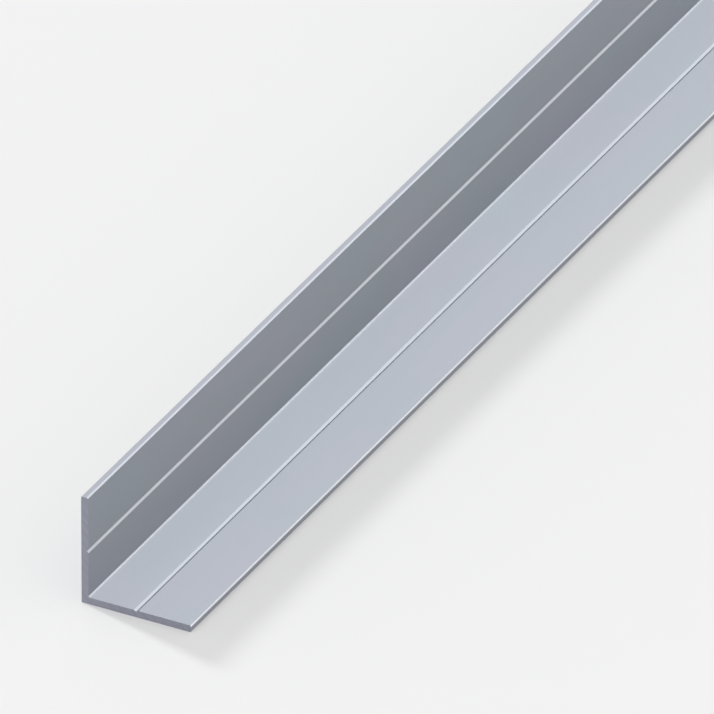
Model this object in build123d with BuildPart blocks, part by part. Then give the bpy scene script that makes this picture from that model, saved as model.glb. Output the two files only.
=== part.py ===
from build123d import *
import os

# An equal angle: one length of extruded aluminium with an L-shaped section. Both legs have the same width
# and wall, and a shallow V groove runs along the middle of each inner face, to mark where to drill.
# All sizes are in millimetres. The bar lies on one leg, along Y, with its origin under the middle of its
# bounding box. X points from the heel to the lying leg's tip, and Z up the other leg.

LENGTH = 1000.0
LEG_WIDTH = 23.5  # of each leg, outside, from the heel to the tip
WALL = 1.5

GROOVE_WIDTH = 1.0  # across the mouth of the V
GROOVE_DEPTH = 0.25

HEEL_RADIUS = 0.2  # outside, where the legs meet
ROOT_RADIUS = 0.3  # inside, where the legs meet
TIP_RADIUS = 0.2  # the outer edge of each leg's tip
BEVEL_ON_TIP = 0.4  # the bevelled inner edge of each leg's tip, measured across the tip
BEVEL_ON_LEG = 0.12  # the same bevel, measured along the leg's inner face

SHARP = 0.0  # the radius of a corner that isn't rounded

groove_middle = LEG_WIDTH / 2
groove_reach = GROOVE_WIDTH / 2  # from the groove's middle to its edge

# The outline's corners in the plane of the section, measured from the heel, each with its radius.
heel = ((0.0, 0.0), HEEL_RADIUS)
root = ((WALL, WALL), ROOT_RADIUS)
lying_leg = [
    ((LEG_WIDTH, 0.0), TIP_RADIUS),
    ((LEG_WIDTH, WALL - BEVEL_ON_TIP), SHARP),
    ((LEG_WIDTH - BEVEL_ON_LEG, WALL), SHARP),
    ((groove_middle + groove_reach, WALL), SHARP),
    ((groove_middle, WALL - GROOVE_DEPTH), SHARP),
    ((groove_middle - groove_reach, WALL), SHARP),
]
# The upright leg mirrors the lying one about the line through heel and root, so its corners come in
# the opposite order with across and up exchanged.
upright_leg = [((up, across), radius) for (across, up), radius in reversed(lying_leg)]

outline = [heel, *lying_leg, root, *upright_leg]
corners = [corner for corner, _ in outline]
radii = [radius for _, radius in outline]

# The section stands across the bar at the middle of its length, with its own origin at the heel.
section_plane = Plane(origin=(-LEG_WIDTH / 2, 0, 0), x_dir=(1, 0, 0), z_dir=(0, -1, 0))

with BuildPart() as angle_profile:
    with BuildSketch(section_plane):
        with BuildLine():
            FilletPolyline(corners, radius=radii, close=True)
        make_face()
    extrude(amount=LENGTH / 2, both=True)

angle_profile.part.label = "angle_profile"

os.makedirs("parts", exist_ok=True)
export_step(angle_profile.part, "parts/angle_profile.step")
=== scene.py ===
"""A satin aluminium angle section lying on a pale floor, seen from close by at its near end.

Lengths are written in millimetres times MM, because Blender and the frame work in metres.
X runs across the lying leg, Y along the bar and Z up the upright leg. The heel is at low.x.
"""

import functools
import math

import bpy
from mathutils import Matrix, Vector


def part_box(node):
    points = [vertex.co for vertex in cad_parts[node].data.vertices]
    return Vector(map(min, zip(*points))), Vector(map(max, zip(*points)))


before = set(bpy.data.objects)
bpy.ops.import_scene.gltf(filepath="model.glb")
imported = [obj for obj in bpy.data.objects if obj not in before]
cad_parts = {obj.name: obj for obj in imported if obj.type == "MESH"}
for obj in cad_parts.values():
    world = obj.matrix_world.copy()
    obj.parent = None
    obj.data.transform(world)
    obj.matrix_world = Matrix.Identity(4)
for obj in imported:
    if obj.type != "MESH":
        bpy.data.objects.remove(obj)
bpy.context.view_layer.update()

MM = 0.001
ALONG_BAR = (0.0, 1.0, 0.0)
IN_SECTION = (1.0, 0.0, 1.0)

low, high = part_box("angle_profile")
LEG_WIDTH = high.x - low.x

# A direction is an azimuth (0 is +X, 90 is +Y, the far end) and an elevation, in degrees.
# The camera stands far off with a long lens, so that the bar's edges stay parallel in the picture.
CAMERA_AZIMUTH = -62.16
CAMERA_ELEVATION = 31.02
CAMERA_LENS = 1600.0
CAMERA_DISTANCE = 6101 * MM
AIM_FROM_HEEL = 5.22 * MM
AIM_FROM_NEAR_END = 102.1 * MM
AIM_HEIGHT = 1.5 * MM

# A lamp's spread is its width in the sky, in degrees, and its level is how bright it alone would make
# a white floor. The key casts no shadow, because its own, below the near end, isn't in the photo.
KEY = {"azimuth": 84.0, "elevation": 41.0, "spread": 12.0, "level": 0.164, "casts_shadow": False}
FILL = {"azimuth": 262.0, "elevation": 10.0, "spread": 20.0, "level": 0.055}
SHADOW_MAKER = {"azimuth": 164.74, "elevation": 34.49, "spread": 6.0, "level": 0.175}

# The world is an even sky, and paler at the horizon, where it meets the floor.
SKY_LEVEL = 0.58
PALE_LEVEL = 0.88
SKY_COLOUR = (1.0, 1.0, 1.0, 1.0)
HORIZON_TOP = 12.0
SKY_BOTTOM = 22.0

FLOOR_COLOUR = (0.9, 0.9, 0.9, 1.0)
FLOOR_REACH = 30.0

# The metal's colours are scene-linear.
COOL_TONE = (0.351, 0.382, 0.419, 1.0)
LILAC_TONE = (0.363, 0.377, 0.424, 1.0)
LINE_TONE = (0.392, 0.416, 0.453, 1.0)
# The dark tone below is painted shade on the narrow faces at the tips of the legs.
TIP_SHADE_TONE = (0.290, 0.277, 0.325, 1.0)
TURNED_TONE = (0.396, 0.422, 0.460, 1.0)
# The bright tone below is painted highlight on the bevels and groove walls.
PAINTED_HIGHLIGHT_TONE = (0.935, 0.96, 1.0, 1.0)
SAWN_DARK_TONE = (0.278, 0.286, 0.338, 1.0)
SAWN_LIGHT_TONE = (0.328, 0.336, 0.388, 1.0)

FACE_ROUGHNESS = 0.55
FACE_ROUGHNESS_SWING = 0.015
TURNED_ROUGHNESS = 0.53
HIGHLIGHT_ROUGHNESS = 0.36
SAWN_ROUGHNESS = 0.70

FACE_ANISOTROPY = 0.9
HIGHLIGHT_ANISOTROPY = 0.9
TURNED_ANISOTROPY = 0.6
SAWN_ANISOTROPY = 0.4

# Which way a surface faces tells what it is. A pair is the part of the normal where a kind of surface
# begins and where it is complete. The bevels and groove walls facing up and towards the open side get a
# painted highlight, a bright colour where the lamps' highlights fall. Of these, those that face up more
# get
# less of it: the four numbers are two upward parts of the normal, and how much highlight is painted at
# each.
SAWN_ALONG = 0.5
FLAT_SQUARE = (0.97, 0.99)
HIGHLIGHT_UP = (0.10, 0.20)
HIGHLIGHT_ACROSS = (0.50, 0.65)
HIGHLIGHT_LESS_UP = (0.27, 0.46, 1.0, 0.46)
# The tip faces get painted shade, a darker tone mixed in at this share.
TIP_MARGIN = 0.01 * MM
TIP_SHADE_SHARE = 0.3

# Die lines run along the bar, clouds are slow changes of tone, and saw marks are arcs round the centre
# of a blade that came in from below the heel. A span is the part of the noise that a pattern uses.
DIE_LINE_WIDTH = 0.4 * MM
DIE_LINE_LENGTH = 90 * MM
DIE_LINE_DETAIL = 2.0
DIE_LINE_SPAN = (0.3, 0.7)
DIE_LINE_SHARE = 0.34
DIE_LINE_HEIGHT = 0.002 * MM
CLOUD_WIDTH = 12 * MM
CLOUD_LENGTH = 40 * MM
CLOUD_DETAIL = 1.0
CLOUD_SPAN = (0.35, 0.65)
SAW_CENTRE = (low.x - 70 * MM, 0.0, low.z - 60 * MM)
SAW_MARK_SPACING = 0.45 * MM
SAW_MARK_DETAIL = 2.0
SAW_MARK_SPAN = (0.3, 0.7)
SAW_MARK_HEIGHT = 0.008 * MM


def add_node(tree, kind, inputs=None, **options):
    """A new shader node. Each input is a plain value or the output of another node."""
    made = tree.nodes.new("ShaderNode" + kind)
    for option, choice in options.items():
        setattr(made, option, choice)
    for name, value in (inputs or {}).items():
        if isinstance(value, bpy.types.NodeSocket):
            tree.links.new(value, made.inputs[name])
        else:
            made.inputs[name].default_value = value
    return made


def arithmetic(tree, operation, first, second=0.0):
    """The output of a maths node on one or two numbers."""
    return add_node(tree, "Math", {0: first, 1: second}, operation=operation).outputs[0]


def vectors(tree, operation, first, second, output="Vector"):
    """The output of a maths node on two vectors."""
    return add_node(tree, "VectorMath", {0: first, 1: second}, operation=operation).outputs[output]


def remap(tree, value, from_low, from_high, to_low=0.0, to_high=1.0):
    """The value moved from one range to another, and held at the ends."""
    return add_node(tree, "MapRange", {
        "Value": value,
        "From Min": from_low,
        "From Max": from_high,
        "To Min": to_low,
        "To Max": to_high,
    }).outputs["Result"]


def blend_of(data_type, tree, share, first, second):
    """A mix: all of the first where the share is 0, all of the second where it is 1."""
    mixer = add_node(tree, "Mix", data_type=data_type)
    sockets = [socket for socket in mixer.inputs if socket.enabled]
    for socket, value in zip(sockets, (share, first, second)):
        if isinstance(value, bpy.types.NodeSocket):
            tree.links.new(value, socket)
        else:
            socket.default_value = value
    return next(socket for socket in mixer.outputs if socket.enabled)


blend_numbers = functools.partial(blend_of, "FLOAT")
blend_colours = functools.partial(blend_of, "RGBA")
blend_vectors = functools.partial(blend_of, "VECTOR")


def direction(azimuth, elevation):
    """The unit vector that points towards this azimuth and elevation."""
    across, up = math.radians(azimuth), math.radians(elevation)
    return Vector((math.cos(up) * math.cos(across), math.cos(up) * math.sin(across), math.sin(up)))


def photo_camera():
    """The camera looks down along the bar from in front of its near end."""
    backwards = direction(CAMERA_AZIMUTH, CAMERA_ELEVATION)
    aim = Vector((low.x + AIM_FROM_HEEL, low.y + AIM_FROM_NEAR_END, AIM_HEIGHT))
    data = bpy.data.cameras.new("camera")
    data.lens = CAMERA_LENS
    camera = bpy.data.objects.new("camera", data)
    camera.location = aim + backwards * CAMERA_DISTANCE
    camera.rotation_mode = "QUATERNION"
    camera.rotation_quaternion = (-backwards).to_track_quat("-Z", "Y")
    bpy.context.scene.collection.objects.link(camera)
    bpy.context.scene.camera = camera


def lamp(name, azimuth, elevation, spread, level, casts_shadow=True):
    """A distant lamp that alone would light a white floor to this level."""
    towards = direction(azimuth, elevation)
    data = bpy.data.lights.new(name, "SUN")
    data.energy = level * math.pi / towards.z
    data.angle = math.radians(spread)
    data.use_shadow = casts_shadow
    placed = bpy.data.objects.new(name, data)
    placed.rotation_mode = "QUATERNION"
    placed.rotation_quaternion = towards.to_track_quat("Z", "Y")
    bpy.context.scene.collection.objects.link(placed)


def studio_world():
    """An even sky over a paler horizon."""
    world = bpy.data.worlds.new("studio")
    bpy.context.scene.world = world
    world.use_nodes = True
    tree = world.node_tree
    tree.nodes.clear()
    view = add_node(tree, "TexCoord")
    height = add_node(tree, "SeparateXYZ", {"Vector": view.outputs["Generated"]})
    level = add_node(tree, "MapRange", {
        "Value": height.outputs["Z"],
        "From Min": math.sin(math.radians(HORIZON_TOP)),
        "From Max": math.sin(math.radians(SKY_BOTTOM)),
        "To Min": PALE_LEVEL,
        "To Max": SKY_LEVEL,
    }, interpolation_type="SMOOTHSTEP")
    sky = add_node(tree, "Background", {"Color": SKY_COLOUR, "Strength": level.outputs["Result"]})
    add_node(tree, "OutputWorld", {"Surface": sky.outputs["Background"]})


def floor_paper():
    """Matt pale paper."""
    material = bpy.data.materials.new("floor_paper")
    material.use_nodes = True
    tree = material.node_tree
    tree.nodes.clear()
    paper = add_node(tree, "BsdfDiffuse", {"Color": FLOOR_COLOUR})
    add_node(tree, "OutputMaterial", {"Surface": paper.outputs["BSDF"]})
    return material


def pale_floor():
    """A large floor at the height that the bar rests on."""
    quarters = ((-1, -1), (1, -1), (1, 1), (-1, 1))
    corners = [(x * FLOOR_REACH, y * FLOOR_REACH, 0.0) for x, y in quarters]
    mesh = bpy.data.meshes.new("floor")
    mesh.from_pydata(corners, [], [range(len(corners))])
    mesh.materials.append(floor_paper())
    floor = bpy.data.objects.new("floor", mesh)
    bpy.context.scene.collection.objects.link(floor)


def streaks(tree, place, width, length, detail):
    """Noise drawn out along the bar, with features this wide and this long."""
    stretched = vectors(tree, "MULTIPLY", place, (1 / width, 1 / length, 1 / width))
    return add_node(tree, "TexNoise", {"Vector": stretched, "Scale": 1.0, "Detail": detail}).outputs["Fac"]


def saw_cuts(tree, place):
    """Irregular arcs round the centre of the blade that cut the bar to length."""
    in_section = vectors(tree, "MULTIPLY", place, IN_SECTION)
    reach = vectors(tree, "DISTANCE", in_section, SAW_CENTRE, output="Value")
    turns = arithmetic(tree, "DIVIDE", reach, SAW_MARK_SPACING)
    rings = add_node(tree, "TexNoise", {
        "W": turns,
        "Scale": 1.0,
        "Detail": SAW_MARK_DETAIL,
    }, noise_dimensions="1D")
    return rings.outputs["Fac"]


def highlight_spread(tree, place, normal, sawn):
    """The direction that highlights spread in: across the die lines, and across the saw's arcs."""
    across_lines = vectors(tree, "CROSS_PRODUCT", normal, ALONG_BAR)
    from_blade = vectors(tree, "SUBTRACT", place, SAW_CENTRE)
    across_cuts = vectors(tree, "MULTIPLY", from_blade, IN_SECTION)
    spread = blend_vectors(tree, sawn, across_lines, across_cuts)
    return add_node(tree, "VectorTransform", {"Vector": spread}, vector_type="VECTOR").outputs["Vector"]


def tip_faces(tree, place):
    """1 on the narrow faces at the tips of the two legs."""
    from_heel = add_node(tree, "SeparateXYZ", {"Vector": vectors(tree, "SUBTRACT", place, tuple(low))})
    reach = arithmetic(tree, "MAXIMUM", from_heel.outputs["X"], from_heel.outputs["Z"])
    return arithmetic(tree, "GREATER_THAN", reach, LEG_WIDTH - TIP_MARGIN)


def satin_aluminium():
    """Extruded aluminium: satin faces with die lines, painted edge highlights and tip shade, matt sawn
    ends.
    """
    material = bpy.data.materials.new("satin_aluminium")
    material.use_nodes = True
    tree = material.node_tree
    tree.nodes.clear()
    coordinates = add_node(tree, "TexCoord")
    place, normal = coordinates.outputs["Object"], coordinates.outputs["Normal"]
    facing = add_node(tree, "SeparateXYZ", {"Vector": normal})
    across, along, up = (facing.outputs[axis] for axis in "XYZ")

    # Kinds of surface. The bevels, the groove walls and the small radii are turned, neither flat nor sawn.
    sawn = arithmetic(tree, "GREATER_THAN", arithmetic(tree, "ABSOLUTE", along), SAWN_ALONG)
    across_size, up_size = (arithmetic(tree, "ABSOLUTE", part) for part in (across, up))
    flat = remap(tree, arithmetic(tree, "MAXIMUM", across_size, up_size), *FLAT_SQUARE)
    # Painted highlight: bevels and groove walls facing up and towards the open side get a bright colour.
    edges = arithmetic(tree, "MULTIPLY", remap(tree, up, *HIGHLIGHT_UP), remap(tree, across, *HIGHLIGHT_ACROSS))
    painted_highlight = arithmetic(tree, "MULTIPLY", edges, remap(tree, up, *HIGHLIGHT_LESS_UP))
    # Painted shade: the narrow tip faces are darkened.
    tip_shade = arithmetic(tree, "MULTIPLY", tip_faces(tree, place), TIP_SHADE_SHARE)

    die_lines = streaks(tree, place, DIE_LINE_WIDTH, DIE_LINE_LENGTH, DIE_LINE_DETAIL)
    clouds = streaks(tree, place, CLOUD_WIDTH, CLOUD_LENGTH, CLOUD_DETAIL)
    cuts = saw_cuts(tree, place)

    clouded = blend_colours(tree, remap(tree, clouds, *CLOUD_SPAN), LILAC_TONE, COOL_TONE)
    line_share = remap(tree, die_lines, *DIE_LINE_SPAN, 0.0, DIE_LINE_SHARE)
    lined = blend_colours(tree, line_share, clouded, LINE_TONE)
    # The painted shade on the tip faces goes on here.
    face = blend_colours(tree, tip_shade, lined, TIP_SHADE_TONE)
    drawn = blend_colours(tree, flat, TURNED_TONE, face)
    # The painted highlight's bright tone goes on here.
    edged = blend_colours(tree, painted_highlight, drawn, PAINTED_HIGHLIGHT_TONE)
    cut_face = blend_colours(tree, remap(tree, cuts, *SAW_MARK_SPAN), SAWN_DARK_TONE, SAWN_LIGHT_TONE)
    colour = blend_colours(tree, sawn, edged, cut_face)

    smoothest = FACE_ROUGHNESS - FACE_ROUGHNESS_SWING
    roughest = FACE_ROUGHNESS + FACE_ROUGHNESS_SWING
    face_roughness = remap(tree, die_lines, *DIE_LINE_SPAN, smoothest, roughest)
    drawn_roughness = blend_numbers(tree, flat, TURNED_ROUGHNESS, face_roughness)
    edged_roughness = blend_numbers(tree, painted_highlight, drawn_roughness, HIGHLIGHT_ROUGHNESS)
    roughness = blend_numbers(tree, sawn, edged_roughness, SAWN_ROUGHNESS)

    drawn_anisotropy = blend_numbers(tree, flat, TURNED_ANISOTROPY, FACE_ANISOTROPY)
    edged_anisotropy = blend_numbers(tree, painted_highlight, drawn_anisotropy, HIGHLIGHT_ANISOTROPY)
    anisotropy = blend_numbers(tree, sawn, edged_anisotropy, SAWN_ANISOTROPY)

    line_relief = arithmetic(tree, "MULTIPLY", die_lines, DIE_LINE_HEIGHT)
    cut_relief = arithmetic(tree, "MULTIPLY", cuts, SAW_MARK_HEIGHT)
    relief = blend_numbers(tree, sawn, line_relief, cut_relief)
    bump = add_node(tree, "Bump", {"Height": relief, "Distance": 1.0, "Strength": 1.0})

    shader = add_node(tree, "BsdfPrincipled", {
        "Base Color": colour,
        "Metallic": 1.0,
        "Roughness": roughness,
        "Anisotropic": anisotropy,
        "Tangent": highlight_spread(tree, place, normal, sawn),
        "Normal": bump.outputs["Normal"],
    })
    add_node(tree, "OutputMaterial", {"Surface": shader.outputs["BSDF"]})
    return material


bpy.context.scene.view_settings.view_transform = "Standard"
photo_camera()
studio_world()
pale_floor()
lamp("key", **KEY)
lamp("fill", **FILL)
lamp("shadow_maker", **SHADOW_MAKER)
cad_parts["angle_profile"].material_slots[0].material = satin_aluminium()
